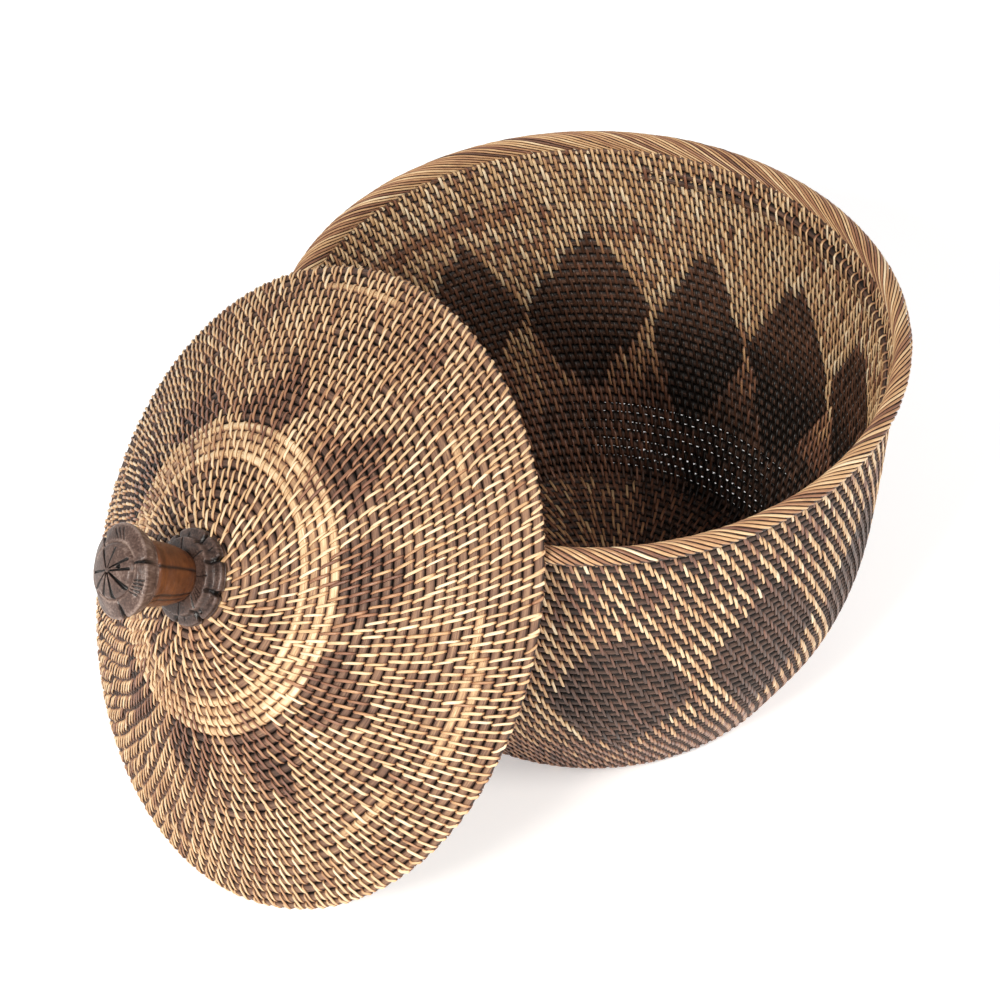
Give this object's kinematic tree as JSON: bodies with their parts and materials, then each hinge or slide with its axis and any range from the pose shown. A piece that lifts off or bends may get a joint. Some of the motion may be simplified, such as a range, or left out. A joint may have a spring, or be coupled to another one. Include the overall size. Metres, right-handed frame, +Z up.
{
  "type": "lidded wicker basket",
  "caption": "Round coiled rattan basket with curved walls, a plaited rim and a domed lid with a carved wooden knob; the lid leans on the rim and closes over it.",
  "frame": {"origin": "centre of the underside of the base, on the floor", "axes": "+Z up along the basket's axis; -Y towards the picture's viewer, +X to the viewer's right"},
  "size_m": [0.5956, 0.5636, 0.3637],
  "materials": {
    "brown_rattan": "matte",
    "mixed_rattan": "matte",
    "dark_rattan": "satin",
    "straw_rattan": "satin",
    "carved_wood": "satin",
    "stem_wood": "satin"
  },
  "bodies": {
    "basket": {"base_centre_coil": "brown_rattan", "base_inner_coil": "brown_rattan", "base_middle_coil": "brown_rattan", "base_outer_coil": "brown_rattan", "heel_coil": "brown_rattan", "wall_coil_01": "mixed_rattan", "wall_coil_02": "mixed_rattan", "wall_coil_03": "dark_rattan", "wall_coil_04": "dark_rattan", "wall_coil_05": "dark_rattan", "wall_coil_06": "mixed_rattan", "wall_coil_07": "mixed_rattan", "wall_coil_08": "brown_rattan", "rim_hoop": "brown_rattan", "rim_border": "straw_rattan"},
    "lid": {"lid_centre_coil": "mixed_rattan", "lid_shoulder_coil": "mixed_rattan", "lid_ring_coil": "straw_rattan", "lid_skirt_coil_1": "brown_rattan", "lid_skirt_coil_2": "mixed_rattan", "lid_skirt_coil_3": "mixed_rattan", "lid_skirt_coil_4": "mixed_rattan", "lid_edge_coil": "mixed_rattan", "lid_inner_disc": "carved_wood", "knob_dowel": "stem_wood", "knob_collar": "carved_wood", "knob_stem": "stem_wood", "knob_head": "carved_wood"}
  },
  "joints": [
    {"name": "lid_swing", "type": "hinge", "parent": "basket", "child": "lid", "pos_m": [0, 0, 0], "axis": [-0.5657, 0.8246, 0], "range_deg": [0, 53.1]}
  ]
}
